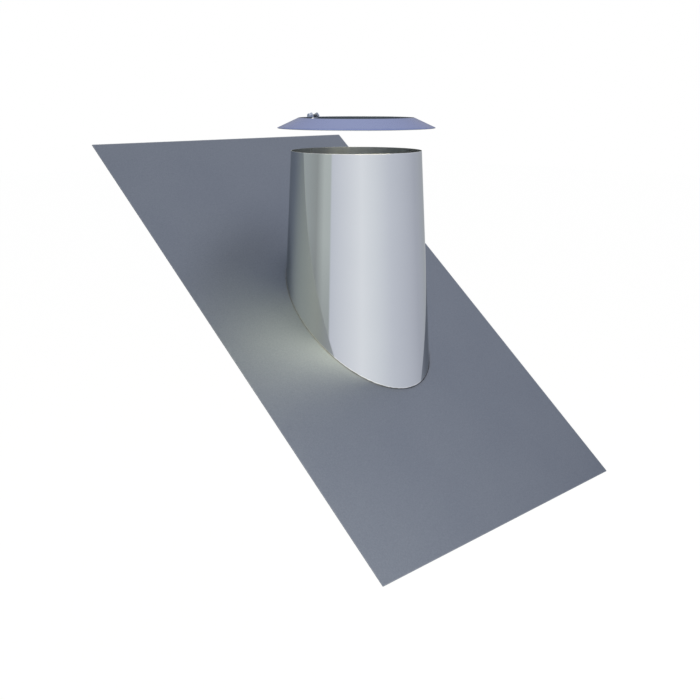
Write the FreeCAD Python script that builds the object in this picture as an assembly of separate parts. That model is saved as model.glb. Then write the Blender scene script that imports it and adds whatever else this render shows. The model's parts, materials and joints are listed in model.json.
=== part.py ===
import FreeCAD, Part
import math
import os

# Pipe flashing for a flue that passes through a pitched roof.
# A flat base plate lies on the slope, a tapered cone stands plumb on it round the opening,
# and a split storm collar sits above the cone's rim, clamped round the flue by a screw and nut.
#
# Frame: +Z is the flue's axis, +Y points uphill in plan and +X runs across the slope.
# The origin is where the axis meets the roof, on the underside of the base plate. Sizes are in mm.

# Roof and base plate
ROOF_PITCH = 40.0  # degrees from the horizontal
PLATE_WIDTH = 600.0  # across the slope
PLATE_LENGTH = 900.0  # up and down the slope
PLATE_SHEET = 0.8
PLATE_CORNER_RADIUS = 1.5  # corners eased so that they do not cut
NECK_HEIGHT = 9.0  # the opening's upturned edge, over the plate's top face
NECK_BEND_RADIUS = 1.6  # round lead-in from the plate's underside into the neck
NECK_CLEARANCE = 0.4  # between the neck and the inside of the cone, square to the axis

# Cone
RIM_DIAMETER = 222.0  # outside, at the top
RIM_HEIGHT = 282.0  # over the roof, on the axis
CONE_TAPER = 3.1  # degrees between the wall and the axis
CONE_SHEET = 0.6

# Storm collar
FLUE_DIAMETER = 195.0  # outside of the flue that the collar grips
COLLAR_DIAMETER = 266.0
COLLAR_SLOPE = 24.5  # degrees from the horizontal
COLLAR_SHEET = 0.6
COLLAR_LIFT = 37.0  # free height between the cone's rim and the collar's outer edge
HEM_WIDTH = 6.0  # outer edge, folded under itself and pressed flat
HEM_EASE = 0.3  # corners of the pressed fold
SPLIT_GAP = 13.0  # between the collar's two ends

# Clamp lugs, folded up from the two ends of the collar
LUG_WIDTH = 14.0  # along the slope
LUG_SETBACK = 0.8  # from the edge of the flue hole, along the slope
LUG_CORNER_RADIUS = 3.5
LUG_BEND_RADIUS = 0.6
LUG_MARGIN = 0.2  # lug over the flats of the screw head

# Clamp screw and nut
SCREW_DIAMETER = 5.0
SCREW_REACH = 1.1  # thread that stands out of the nut
SCREW_FLATS = 8.0  # across flats, head and nut
HEAD_HEIGHT = 3.5
NUT_HEIGHT = 4.7
HEX_CHAMFER_ANGLE = 30.0  # degrees between the chamfer and the end face
HEX_CHAMFER_BITE = 0.2  # how far the chamfer cuts into the flats, at the end face
SCREW_TIP_CHAMFER = 0.6
NUT_MOUTH_CHAMFER = 0.4
HOLE_CLEARANCE = 0.5  # on the diameter, screw in lug
THREAD_CLEARANCE = 0.1  # on the diameter, screw in nut
HEAD_CLEARANCE = 0.2  # between the flats of the head and the bend of the lug

# Roof and cone, worked out
ORIGIN = FreeCAD.Vector(0, 0, 0)
ACROSS = FreeCAD.Vector(1, 0, 0)
UP = FreeCAD.Vector(0, 0, 1)
PITCH = math.radians(ROOF_PITCH)
TAPER = math.radians(CONE_TAPER)
CONE_WALL = CONE_SHEET / math.cos(TAPER)  # square to the axis
NECK_OUTER_INSET = CONE_WALL + NECK_CLEARANCE  # from the cone's outer face
NECK_INNER_INSET = NECK_OUTER_INSET + PLATE_SHEET / math.cos(TAPER)
REACH = PLATE_WIDTH + PLATE_LENGTH + RIM_HEIGHT  # further than any piece, for cutting bodies
SAME_PLACE = 1e-4  # how close two heights are to count as one

# Collar's section, worked out: its own axes run down the slope and square to it, from inside the fold
SLOPE = math.radians(COLLAR_SLOPE)
FLUE_RADIUS = FLUE_DIAMETER / 2
FOLD_FLAT = COLLAR_SHEET - HEM_EASE  # half the flat of the fold's end
FOLD_RADIUS = COLLAR_DIAMETER / 2 - COLLAR_SHEET * math.cos(SLOPE) - FOLD_FLAT * math.sin(SLOPE)
FOLD_HEIGHT = RIM_HEIGHT + COLLAR_LIFT + COLLAR_SHEET * math.cos(SLOPE) + FOLD_FLAT * math.sin(SLOPE)
TOP_FACE = COLLAR_SHEET  # the collar's top face, over the hem's fold
SCREW_OVER_FOLD = TOP_FACE + LUG_BEND_RADIUS + HEAD_CLEARANCE + SCREW_FLATS / 2
LUG_TOP = SCREW_OVER_FOLD + SCREW_FLATS / 2 + LUG_MARGIN
LUG_FACE_X = SPLIT_GAP / 2 + COLLAR_SHEET  # outer face of each lug
SCREW_LENGTH = 2 * LUG_FACE_X + NUT_HEIGHT + SCREW_REACH  # under the head


def on_slope(body):
    """Turn a body drawn on a level roof to the roof's pitch."""
    turned = body.copy()
    turned.rotate(ORIGIN, ACROSS, ROOF_PITCH)
    return turned


def space_over_roof(height):
    """Everything over a plane parallel to the roof, at this height square to it."""
    corner = FreeCAD.Vector(-REACH, -REACH, height)
    return on_slope(Part.makeBox(2 * REACH, 2 * REACH, REACH, corner))


def height_over_roof(point):
    """How far a point is from the roof, square to it."""
    return point.z * math.cos(PITCH) - point.y * math.sin(PITCH)


def tapered_plug(inset, top):
    """The solid that lies this far inside the cone's outer face, from below the roof to the top."""
    bottom = -RIM_DIAMETER * math.tan(PITCH) - RIM_HEIGHT
    rim_radius = RIM_DIAMETER / 2 - inset
    low_radius = rim_radius + (RIM_HEIGHT - bottom) * math.tan(TAPER)
    top_radius = rim_radius + (RIM_HEIGHT - top) * math.tan(TAPER)
    return Part.makeCone(low_radius, top_radius, top - bottom, FreeCAD.Vector(0, 0, bottom))


def oval_edges(shape, height):
    """The closed edges that lie at this height over the roof."""
    found = []
    for edge in shape.Edges:
        start = edge.valueAt(edge.FirstParameter)
        if edge.isClosed() and abs(height_over_roof(start) - height) < SAME_PLACE:
            found.append(edge)
    return found


def make_base_plate():
    """Flat sheet with an oval opening, whose edge is drawn up as a neck inside the cone's foot."""
    corner = FreeCAD.Vector(-PLATE_WIDTH / 2, -PLATE_LENGTH / 2, 0)
    sheet = Part.makeBox(PLATE_WIDTH, PLATE_LENGTH, PLATE_SHEET, corner)
    corners = [edge for edge in sheet.Edges if abs(edge.tangentAt(edge.FirstParameter).z) > 0.5]
    sheet = on_slope(sheet.makeFillet(PLATE_CORNER_RADIUS, corners))
    neck = tapered_plug(NECK_OUTER_INSET, RIM_HEIGHT).common(space_over_roof(0))
    neck = neck.cut(space_over_roof(PLATE_SHEET + NECK_HEIGHT))
    plate = sheet.fuse(neck).cut(tapered_plug(NECK_INNER_INSET, RIM_HEIGHT)).removeSplitter()
    return plate.makeFillet(NECK_BEND_RADIUS, oval_edges(plate, 0))


def make_cone():
    """Rolled sheet with a plumb axis, its foot cut to the slope so that it stands flat on the plate."""
    wall = tapered_plug(0, RIM_HEIGHT).cut(tapered_plug(CONE_WALL, RIM_HEIGHT + CONE_SHEET))
    return wall.common(space_over_roof(PLATE_SHEET))


def section_point(out, up):
    """A point of the collar's section, by its own axes, set in the plane of the split."""
    radius = FOLD_RADIUS + out * math.cos(SLOPE) + up * math.sin(SLOPE)
    height = FOLD_HEIGHT - out * math.sin(SLOPE) + up * math.cos(SLOPE)
    return FreeCAD.Vector(0, radius, height)


def section_up(point):
    """How far a point of the collar is over the fold, square to the slope."""
    radius = math.hypot(point.x, point.y)
    return (radius - FOLD_RADIUS) * math.sin(SLOPE) + (point.z - FOLD_HEIGHT) * math.cos(SLOPE)


def hole_out(up):
    """Where the section's line at this height meets the flue hole."""
    return (FLUE_RADIUS - FOLD_RADIUS - up * math.sin(SLOPE)) / math.cos(SLOPE)


def lug_middle():
    """The middle of the lugs, along the slope."""
    return hole_out(TOP_FACE) + LUG_SETBACK + LUG_WIDTH / 2


def screw_centre():
    """Where the screw's axis crosses the middle of the split."""
    return section_point(lug_middle(), SCREW_OVER_FOLD)


def make_collar_ring():
    """Sloping ring with its outer edge hemmed, turned from its section."""
    corners = [
        (hole_out(TOP_FACE), TOP_FACE),
        (FOLD_FLAT, COLLAR_SHEET),
        (COLLAR_SHEET, FOLD_FLAT),
        (COLLAR_SHEET, -FOLD_FLAT),
        (FOLD_FLAT, -COLLAR_SHEET),
        (-HEM_WIDTH, -COLLAR_SHEET),
        (-HEM_WIDTH, 0),
        (hole_out(0), 0),
    ]
    outline = [section_point(*corner) for corner in corners + corners[:1]]
    return Part.Face(Part.makePolygon(outline)).revolve(ORIGIN, UP, 360)


def make_lug(inner_x):
    """One upright tab with rounded corners, from this place across the split."""
    low = TOP_FACE / 2  # its foot runs down into the ring's own sheet
    first = lug_middle() - LUG_WIDTH / 2
    last = lug_middle() + LUG_WIDTH / 2
    radius = LUG_CORNER_RADIUS
    tuck = radius * (1 - math.sqrt(0.5))  # from the square corner to the middle of its arc
    foot_first = section_point(first, low)
    foot_last = section_point(last, low)
    side_last = section_point(last, LUG_TOP - radius)
    arc_last = section_point(last - tuck, LUG_TOP - tuck)
    top_last = section_point(last - radius, LUG_TOP)
    top_first = section_point(first + radius, LUG_TOP)
    arc_first = section_point(first + tuck, LUG_TOP - tuck)
    side_first = section_point(first, LUG_TOP - radius)
    edges = [
        Part.makeLine(foot_first, foot_last),
        Part.makeLine(foot_last, side_last),
        Part.Arc(side_last, arc_last, top_last).toShape(),
        Part.makeLine(top_last, top_first),
        Part.Arc(top_first, arc_first, side_first).toShape(),
        Part.makeLine(side_first, foot_first),
    ]
    tab = Part.Face(Part.Wire(edges)).extrude(ACROSS * COLLAR_SHEET)
    tab.translate(ACROSS * inner_x)
    return tab


def lug_bend_edges(collar):
    """The two edges where a lug's outer face meets the collar's top face."""
    found = []
    for edge in collar.Edges:
        ends = [edge.valueAt(edge.FirstParameter), edge.valueAt(edge.LastParameter)]
        on_lug = all(abs(abs(end.x) - LUG_FACE_X) < SAME_PLACE for end in ends)
        on_ring = all(abs(section_up(end) - TOP_FACE) < SAME_PLACE for end in ends)
        if on_lug and on_ring:
            found.append(edge)
    return found


def make_storm_collar():
    """Split ring whose two ends are folded up into lugs, with a hole through both for the screw."""
    split = Part.makeBox(SPLIT_GAP, REACH, REACH, FreeCAD.Vector(-SPLIT_GAP / 2, 0, 0))
    collar = make_collar_ring().cut(split)
    for inner_x in (SPLIT_GAP / 2, -LUG_FACE_X):
        collar = collar.fuse(make_lug(inner_x))
    collar = collar.removeSplitter()
    collar = collar.makeFillet(LUG_BEND_RADIUS, lug_bend_edges(collar))
    hole_radius = (SCREW_DIAMETER + HOLE_CLEARANCE) / 2
    start = screw_centre() - ACROSS * SPLIT_GAP
    return collar.cut(Part.makeCylinder(hole_radius, 2 * SPLIT_GAP, start, ACROSS))


def hex_body(height):
    """Hexagon prism along +X from the origin, one flat parallel to the collar's slope."""
    corner_radius = SCREW_FLATS / math.sqrt(3)
    corners = []
    for step in range(7):
        angle = math.radians(60 * step) - SLOPE
        corners.append(FreeCAD.Vector(0, corner_radius * math.cos(angle), corner_radius * math.sin(angle)))
    return Part.Face(Part.makePolygon(corners)).extrude(ACROSS * height)


def chamfer_body(height):
    """Round body along +X that cuts the corners of a hexagon back at its far end."""
    corner_radius = SCREW_FLATS / math.sqrt(3)
    end_radius = SCREW_FLATS / 2 - HEX_CHAMFER_BITE
    drop = (corner_radius - end_radius) * math.tan(math.radians(HEX_CHAMFER_ANGLE))
    straight = Part.makeCylinder(corner_radius, height - drop, ORIGIN, ACROSS)
    taper = Part.makeCone(corner_radius, end_radius, drop, ACROSS * (height - drop), ACROSS)
    return straight.fuse(taper)


def chamfered_hex(height):
    """Hexagon along +X with the corners of its far end chamfered."""
    return hex_body(height).common(chamfer_body(height))


def make_clamp_screw():
    """Hexagon screw: its head bears on the -X lug and its plain shank runs through both lugs to the nut."""
    head = chamfered_hex(HEAD_HEIGHT).mirror(ORIGIN, ACROSS)
    radius = SCREW_DIAMETER / 2
    shank = Part.makeCylinder(radius, SCREW_LENGTH - SCREW_TIP_CHAMFER, ORIGIN, ACROSS)
    tip_start = ACROSS * (SCREW_LENGTH - SCREW_TIP_CHAMFER)
    tip = Part.makeCone(radius, radius - SCREW_TIP_CHAMFER, SCREW_TIP_CHAMFER, tip_start, ACROSS)
    screw = head.fuse(shank).fuse(tip).removeSplitter()
    screw.translate(screw_centre() - ACROSS * LUG_FACE_X)
    return screw


def make_clamp_nut():
    """Hexagon nut that bears on the +X lug, both ends chamfered and both mouths countersunk."""
    chamfered_far = chamfered_hex(NUT_HEIGHT)
    chamfered_near = chamfered_far.mirror(ORIGIN, ACROSS)
    chamfered_near.translate(ACROSS * NUT_HEIGHT)
    nut = chamfered_far.common(chamfered_near)
    bore_radius = (SCREW_DIAMETER + THREAD_CLEARANCE) / 2
    mouth_radius = bore_radius + NUT_MOUTH_CHAMFER
    nut = nut.cut(Part.makeCylinder(bore_radius, NUT_HEIGHT, ORIGIN, ACROSS))
    nut = nut.cut(Part.makeCone(mouth_radius, bore_radius, NUT_MOUTH_CHAMFER, ORIGIN, ACROSS))
    nut = nut.cut(Part.makeCone(mouth_radius, bore_radius, NUT_MOUTH_CHAMFER, ACROSS * NUT_HEIGHT, -ACROSS))
    nut.translate(screw_centre() + ACROSS * LUG_FACE_X)
    return nut


PIECES = {
    "base_plate": make_base_plate,
    "cone": make_cone,
    "storm_collar": make_storm_collar,
    "clamp_screw": make_clamp_screw,
    "clamp_nut": make_clamp_nut,
}

os.makedirs("parts", exist_ok=True)
for name, make in PIECES.items():
    piece = make()
    piece.exportStep(os.path.join("parts", name + ".step"))
    print(f"{name}: {len(piece.Solids)} solid, valid {piece.isValid()}, {piece.Volume:.0f} mm3")
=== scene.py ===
# %% [markdown]
# # A pipe flashing for a flue on a pitched roof
# This lesson finishes a sheet-metal roof part: a matt base plate that lies on the slope, a bright tapered
# cone that stands plumb on it, and a split storm collar that a small clamp screw closes round the flue.
# The construction comes from a CAD model. It is loaded first, as a fixed frame in metres, and each piece
# that is made here takes its place from it.

# %% Load the frame
import json
import math

import bmesh
import bpy
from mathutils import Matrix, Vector, noise


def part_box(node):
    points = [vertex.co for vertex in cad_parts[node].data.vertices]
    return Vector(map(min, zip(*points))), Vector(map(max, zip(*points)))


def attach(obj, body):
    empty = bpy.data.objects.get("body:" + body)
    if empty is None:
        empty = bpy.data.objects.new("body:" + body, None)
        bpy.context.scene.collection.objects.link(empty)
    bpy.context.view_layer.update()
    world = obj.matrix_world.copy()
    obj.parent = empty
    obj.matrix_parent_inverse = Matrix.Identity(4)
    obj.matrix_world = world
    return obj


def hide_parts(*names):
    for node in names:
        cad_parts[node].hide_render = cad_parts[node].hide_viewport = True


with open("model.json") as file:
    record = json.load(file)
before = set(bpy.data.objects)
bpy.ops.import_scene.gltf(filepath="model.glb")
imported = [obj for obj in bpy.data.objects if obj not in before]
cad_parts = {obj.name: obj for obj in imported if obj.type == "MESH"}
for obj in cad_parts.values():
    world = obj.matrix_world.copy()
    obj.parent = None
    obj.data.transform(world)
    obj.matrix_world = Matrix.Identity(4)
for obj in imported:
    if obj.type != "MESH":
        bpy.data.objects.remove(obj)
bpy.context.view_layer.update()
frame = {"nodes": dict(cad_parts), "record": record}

print("CAD nodes:", ", ".join(frame["nodes"]))

# %% [markdown]
# ## Sizes
# A size that the frame states is read from it: the slope and the flue come from the two mounts, and
# heights and widths from the boxes of the nodes. The few sizes that no box can tell, such as a sheet's
# thickness, are named here once, in metres.

# %% Read the sizes that the pieces share
MM = 0.001
mounts = {mount["name"]: mount for mount in frame["record"]["mounts"]}

ROOF_NORMAL = -Vector(mounts["roof_face"]["axis"])
ROOF_PITCH = math.acos(ROOF_NORMAL.z)
PLATE_SHEET = 0.8 * MM
PLATE_TOP = ROOF_NORMAL * PLATE_SHEET

RIM_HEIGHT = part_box("cone")[1].z
RIM_RADIUS = 111 * MM
CONE_TAPER = math.radians(3.1)
CONE_SHEET = 0.6 * MM

FLUE_RADIUS = mounts["flue_clamp"]["dims"]["r_mm"] * MM
COLLAR_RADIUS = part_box("storm_collar")[1].x
COLLAR_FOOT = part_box("storm_collar")[0].z
COLLAR_SLOPE = math.radians(24.5)
COLLAR_SHEET = 0.6 * MM

TOUCH = 0.01 * MM  # how near two points are to count as one place


def over_plate(point):
    """How far a point is over the plate's top face, square to it."""
    return (point - PLATE_TOP).dot(ROOF_NORMAL)


def cone_radius(height):
    """The cone's outer radius at a height over the origin."""
    return RIM_RADIUS + (RIM_HEIGHT - height) * math.tan(CONE_TAPER)


print(f"pitch {math.degrees(ROOF_PITCH):.1f} degrees, rim at {RIM_HEIGHT / MM:.0f} mm")

# %% [markdown]
# ## Working by hand, in code
# The pieces are modelled as a person would do it: add a primitive, go into edit mode, select, and use the
# mesh tools. Two habits keep this safe in a script. Everything is deselected before a primitive is added,
# because a tool acts on all that is selected. And edges or faces are selected by a test of their place,
# never by their number, which changes with every tool.

# %% Helpers for edit mode
def begin(name, add_primitive, **settings):
    """Add a primitive as a new piece, with nothing else selected, and go into edit mode."""
    bpy.ops.object.select_all(action="DESELECT")
    add_primitive(**settings)
    piece = bpy.context.object
    piece.name = name
    piece.data.name = name
    bpy.ops.object.transform_apply(location=True, rotation=True, scale=True)
    bpy.ops.object.mode_set(mode="EDIT")
    return piece


def pick(kind, test):
    """In edit mode, select just the VERT, EDGE or FACE items that pass the test, and count them."""
    bpy.ops.mesh.select_mode(type=kind)
    bpy.ops.mesh.select_all(action="DESELECT")
    mesh = bmesh.from_edit_mesh(bpy.context.object.data)
    items = {"VERT": mesh.verts, "EDGE": mesh.edges, "FACE": mesh.faces}[kind]
    found = [item for item in items if test(item)]
    for item in found:
        item.select_set(True)
    mesh.select_flush_mode()
    bmesh.update_edit_mesh(bpy.context.object.data)
    return len(found)


def move_selected(place):
    """In edit mode, move each selected vertex to where the function puts it."""
    mesh = bmesh.from_edit_mesh(bpy.context.object.data)
    for vertex in mesh.verts:
        if vertex.select:
            vertex.co = place(vertex.co)
    bmesh.update_edit_mesh(bpy.context.object.data)


def cut_all(point, normal, **settings):
    """Cut the whole mesh with a plane."""
    bpy.ops.mesh.select_all(action="SELECT")
    bpy.ops.mesh.bisect(plane_co=point, plane_no=normal, threshold=TOUCH / 10, **settings)


def tidy_mesh():
    """Merge doubled points and point all faces outwards."""
    bpy.ops.mesh.select_all(action="SELECT")
    bpy.ops.mesh.remove_doubles(threshold=TOUCH / 4)
    bpy.ops.mesh.normals_make_consistent(inside=False)


def square_up():
    """Turn faces of many corners into triangles and pair those into quads."""
    pick("FACE", lambda face: len(face.verts) > 4)
    bpy.ops.mesh.quads_convert_to_tris(ngon_method="BEAUTY")
    bpy.ops.mesh.tris_convert_to_quads()


# %% [markdown]
# A modifier is applied as soon as it is set up, because the next tool needs its result as a mesh. A
# finished piece is shaded smooth up to an angle, parented to the root body and measured. It has to be
# closed, and then it has no open edges.

# %% Helpers for finishing a piece
def apply_modifier(piece, kind, **settings):
    """Add a modifier to a piece, set it up and apply it."""
    bpy.ops.object.mode_set(mode="OBJECT")
    modifier = piece.modifiers.new(kind.lower(), kind)
    for setting, value in settings.items():
        setattr(modifier, setting, value)
    bpy.context.view_layer.objects.active = piece
    bpy.ops.object.modifier_apply(modifier=modifier.name)


def finish_piece(piece, node=None, sharp=35):
    """Smooth the shading, parent the piece to the root body, hide the CAD node that it replaces and say
    what was made.
    """
    bpy.ops.object.mode_set(mode="OBJECT")
    bpy.ops.object.select_all(action="DESELECT")
    piece.select_set(True)
    bpy.context.view_layer.objects.active = piece
    bpy.ops.object.shade_smooth_by_angle(angle=math.radians(sharp))
    apply_modifier(piece, "WEIGHTED_NORMAL", keep_sharp=True)
    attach(piece, "root")
    if node:
        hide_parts(node)
    mesh = bmesh.new()
    mesh.from_mesh(piece.data)
    open_edges = sum(not edge.is_manifold for edge in mesh.edges)
    triangles = sum(len(face.verts) - 2 for face in mesh.faces)
    volume = mesh.calc_volume() / MM**3
    mesh.free()
    print(f"{piece.name}: {triangles} triangles, {open_edges} open edges, {volume:.0f} mm3")


# %% [markdown]
# ## The cone
# The real cone is a sheet of bright steel, rolled to a taper and welded along one side, with its foot cut
# to the slope. It could be a revolved profile with a boolean for the foot. A plainer way is used, in the
# order of the workshop: an open cone is added a little too long, a solidify modifier gives it the sheet's
# thickness, and two plane cuts then trim the rim level and the foot to the slope. That leaves one clean
# quad for each step round the wall, which a mirror finish needs.

# %% Model the cone
CONE_POINTS = 288
SPARE = 10 * MM  # the wall is this much too long at each end, before it is trimmed
RIM_EASE = 0.14 * MM  # the burr is taken off the rim's two edges


def cone_wall(points):
    """Settings for an open cone that follows the cone's outer face."""
    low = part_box("cone")[0].z - SPARE
    high = RIM_HEIGHT + SPARE
    return {
        "vertices": points,
        "radius1": cone_radius(low),
        "radius2": cone_radius(high),
        "depth": high - low,
        "location": (0, 0, (low + high) / 2),
        "end_fill_type": "NOTHING",
    }


def on_rim(edge):
    """True for an edge that lies in the plane of the rim."""
    return all(abs(vertex.co.z - RIM_HEIGHT) < TOUCH for vertex in edge.verts)


cone = begin("cone_shell", bpy.ops.mesh.primitive_cone_add, **cone_wall(CONE_POINTS))
apply_modifier(cone, "SOLIDIFY", thickness=CONE_SHEET, offset=-1, use_even_offset=True)
bpy.ops.object.mode_set(mode="EDIT")
cut_all(Vector((0, 0, RIM_HEIGHT)), Vector((0, 0, 1)), clear_outer=True, use_fill=True)
cut_all(PLATE_TOP, ROOF_NORMAL, clear_inner=True, use_fill=True)
square_up()
tidy_mesh()
pick("EDGE", lambda edge: on_rim(edge) and edge.calc_face_angle(0) > ROOF_PITCH)
bpy.ops.mesh.bevel(offset=RIM_EASE, segments=2, affect="EDGES")
finish_piece(cone, "cone")

# %% [markdown]
# ## The weld at the foot
# On the real part a thin bead of weld runs all round the cone's foot and seals it to the plate. It shows
# as a narrow, slightly uneven line. A texture could draw that line, but a real bead stands out and
# catches the light from every side, so it is modelled. A narrow band is cut out of a cone wall and cut
# again into rows. Its lower edge is extruded into the sheet, as the weld's root, and up again to the top
# edge, which closes the bead. The rows are then pushed out over the plate to a full face, with some
# noise, as uneven as handwork.

# %% Model the foot weld
WELD_POINTS = 720
WELD_LEG = 0.9 * MM
WELD_ROOT = 0.3 * MM  # how far the weld goes into the cone's sheet
WELD_ROWS = 5
WELD_FULLNESS = 0.6
WELD_RIPPLE = 6 * MM
WELD_UNEVEN = 0.5


def level_out(point):
    """The level direction away from the flue's axis."""
    return Vector((point.x, point.y, 0)).normalized()


def up_the_wall(point):
    """The direction up the cone's wall, with a step of one square to the plate."""
    rise = Vector((0, 0, 1)) - level_out(point) * math.tan(CONE_TAPER)
    return rise / rise.dot(ROOF_NORMAL)


def out_over_plate(point):
    """The direction away from the cone, along the plate's face."""
    out = level_out(point) + Vector((0, 0, math.tan(CONE_TAPER)))
    return (out - ROOF_NORMAL * out.dot(ROOF_NORMAL)).normalized()


def shape_bead(point):
    """Move a point of the flat band to the bead's rounded face, and leave the root."""
    if math.hypot(point.x, point.y) < cone_radius(point.z) - WELD_ROOT / 2:
        return point
    share = over_plate(point) / WELD_LEG
    foot = point - up_the_wall(point) * over_plate(point)
    leg = WELD_LEG * (1 + WELD_UNEVEN * noise.noise(foot / WELD_RIPPLE))
    reach = (1 - share) * (1 + WELD_FULLNESS * share)
    return foot + up_the_wall(foot) * leg * share + out_over_plate(foot) * leg * reach


def to_root(point):
    """From the cone's outer face level into its sheet."""
    return point - level_out(point) * WELD_ROOT


def root_to_top(point):
    """From the root back out to the bead's top edge."""
    return point + level_out(point) * WELD_ROOT + up_the_wall(point) * WELD_LEG


weld = begin("foot_weld", bpy.ops.mesh.primitive_cone_add, **cone_wall(WELD_POINTS))
cut_all(PLATE_TOP, ROOF_NORMAL, clear_inner=True)
cut_all(PLATE_TOP + ROOF_NORMAL * WELD_LEG, ROOF_NORMAL, clear_outer=True)
for row in range(1, WELD_ROWS):
    cut_all(PLATE_TOP + ROOF_NORMAL * WELD_LEG * row / WELD_ROWS, ROOF_NORMAL)
pick("EDGE", lambda edge: all(over_plate(vertex.co) < TOUCH for vertex in edge.verts))
for place in (to_root, root_to_top):
    bpy.ops.mesh.extrude_region_move()
    move_selected(place)
tidy_mesh()
move_selected(shape_bead)
tidy_mesh()
finish_piece(weld, sharp=60)

# %% [markdown]
# ## The seam of the cone
# A rolled cone is closed by one weld along its wall. Here it is on the uphill side. It goes through the
# sheet, so it stands a little proud on both faces. A thin round bar is the start: its long edges are
# divided, and each point is then laid along the wall, flattened to the width and height of the bead, with
# the same kind of noise as the foot weld.

# %% Model the seam
SEAM_POINTS = 16
SEAM_CUTS = 170
SEAM_HALF_WIDTH = 1.7 * MM
SEAM_HALF_DEPTH = CONE_SHEET / 2 + 0.2 * MM
SEAM_RIPPLE = 2.4 * MM
SEAM_UNEVEN = 0.3


def lay_on_wall(point):
    """Move a point of a bar of radius 1 along Z to the bead along the uphill side of the cone."""
    uneven = 1 + SEAM_UNEVEN * noise.noise(Vector((point.x, point.y, point.z / SEAM_RIPPLE)))
    middle = cone_radius(point.z) - CONE_SHEET / 2
    aside = point.x * SEAM_HALF_WIDTH * uneven
    return Vector((aside, middle + point.y * SEAM_HALF_DEPTH * uneven, point.z))


def runs_up(edge):
    """True for an edge that runs along Z."""
    first, last = (vertex.co for vertex in edge.verts)
    return math.hypot(first.x - last.x, first.y - last.y) < TOUCH


seam = begin(
    "cone_seam", bpy.ops.mesh.primitive_cylinder_add, vertices=SEAM_POINTS, radius=1, depth=RIM_HEIGHT,
    location=(0, 0, RIM_HEIGHT / 2),
)
pick("EDGE", runs_up)
bpy.ops.mesh.subdivide(number_cuts=SEAM_CUTS)
bpy.ops.mesh.select_all(action="SELECT")
move_selected(lay_on_wall)
cut_all(PLATE_TOP, ROOF_NORMAL, clear_inner=True, use_fill=True)
tidy_mesh()
finish_piece(seam, sharp=60)

# %% [markdown]
# ## The storm collar
# The collar is one sloping ring of sheet. Its outer edge is folded under itself as a hem, which makes it
# stiff and keeps the rim from cutting, and its two ends are folded up into lugs for the clamp screw. The
# ring could be a solidified cone, but then the hem would be missing. So the section is drawn once, with
# the hem's round fold, and spun round the flue's axis.

# %% Draw the section of the collar and spin it
HEM_WIDTH = 6 * MM
FOLD_STEPS = 12
RING_STEPS = 225
LUG_SETBACK = 0.8 * MM  # from the edge of the flue hole
LUG_WIDTH = 14 * MM

FOLD_RADIUS = COLLAR_RADIUS - COLLAR_SHEET
FOLD_HEIGHT = COLLAR_FOOT + COLLAR_SHEET
DOWN_SLOPE = Vector((0, math.cos(COLLAR_SLOPE), -math.sin(COLLAR_SLOPE)))
OFF_SLOPE = Vector((0, math.sin(COLLAR_SLOPE), math.cos(COLLAR_SLOPE)))


def section_point(out, up):
    """A point of the section, by its own axes down the slope and square to it, from inside the fold."""
    return Vector((0, FOLD_RADIUS, FOLD_HEIGHT)) + DOWN_SLOPE * out + OFF_SLOPE * up


def section_place(point):
    """The inverse: how far a point of the collar is down the slope and over it."""
    offset = Vector((0, math.hypot(point.x, point.y) - FOLD_RADIUS, point.z - FOLD_HEIGHT))
    return offset.dot(DOWN_SLOPE), offset.dot(OFF_SLOPE)


def hole_out(up):
    """Where the section's line at this height meets the flue hole."""
    return (FLUE_RADIUS - FOLD_RADIUS - up * math.sin(COLLAR_SLOPE)) / math.cos(COLLAR_SLOPE)


LUG_FIRST = hole_out(COLLAR_SHEET) + LUG_SETBACK
LUG_LAST = LUG_FIRST + LUG_WIDTH
fold_angles = [math.pi * (0.5 - step / FOLD_STEPS) for step in range(FOLD_STEPS + 1)]
outline = [(out, COLLAR_SHEET) for out in (hole_out(COLLAR_SHEET), LUG_FIRST, LUG_LAST, -HEM_WIDTH)]
outline += [(COLLAR_SHEET * math.cos(angle), COLLAR_SHEET * math.sin(angle)) for angle in fold_angles]
outline += [(-HEM_WIDTH, -COLLAR_SHEET)]
outline += [(out, 0) for out in (-HEM_WIDTH, LUG_LAST, LUG_FIRST, hole_out(0))]


def place_points(points):
    """Put the points of a new, open primitive to these places, in their order."""
    mesh = bmesh.from_edit_mesh(bpy.context.object.data)
    for vertex, point in zip(mesh.verts, points):
        vertex.co = point
    bmesh.update_edit_mesh(bpy.context.object.data)


collar = begin("collar_ring", bpy.ops.mesh.primitive_circle_add, vertices=len(outline))
place_points([section_point(out, up) for out, up in outline])
bpy.ops.mesh.select_all(action="SELECT")
bpy.ops.mesh.spin(steps=RING_STEPS, angle=math.tau, center=(0, 0, 0), axis=(0, 0, 1))
tidy_mesh()
print("collar section:", len(outline), "points")

# %% [markdown]
# Now the ring is split on the uphill side. It is cut where the folds of the lugs begin, and the strip
# between the cuts is deleted. On each end, the part of the cut face that carries the lug is spun a
# quarter turn about the bend and then extruded up. What is left of the end is drawn forward to the edge
# of the gap.

# %% Split the ring and fold up the lugs
SPLIT_GAP = 13 * MM
LUG_BEND = 0.6 * MM
LUG_BEND_STEPS = 6
LUG_CORNER = 3.5 * MM
LUG_CORNER_STEPS = 6
LUG_MARGIN = 0.2 * MM  # lug over the flats of the screw
SCREW_FLATS = 8 * MM

FOLD_LINE = SPLIT_GAP / 2 + COLLAR_SHEET + LUG_BEND
screw_low, screw_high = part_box("clamp_screw")
SCREW_MIDDLE = (screw_low + screw_high) / 2
SCREW_UP = (SCREW_MIDDLE - section_point(0, 0)).dot(OFF_SLOPE)
LUG_TOP = SCREW_UP + SCREW_FLATS / 2 + LUG_MARGIN
NEAR = 0.05 * MM  # the ring's flat steps are this close to a true circle


def uphill(face):
    """True for a face on the uphill half of the ring."""
    return face.calc_center_median().y > 0


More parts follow.
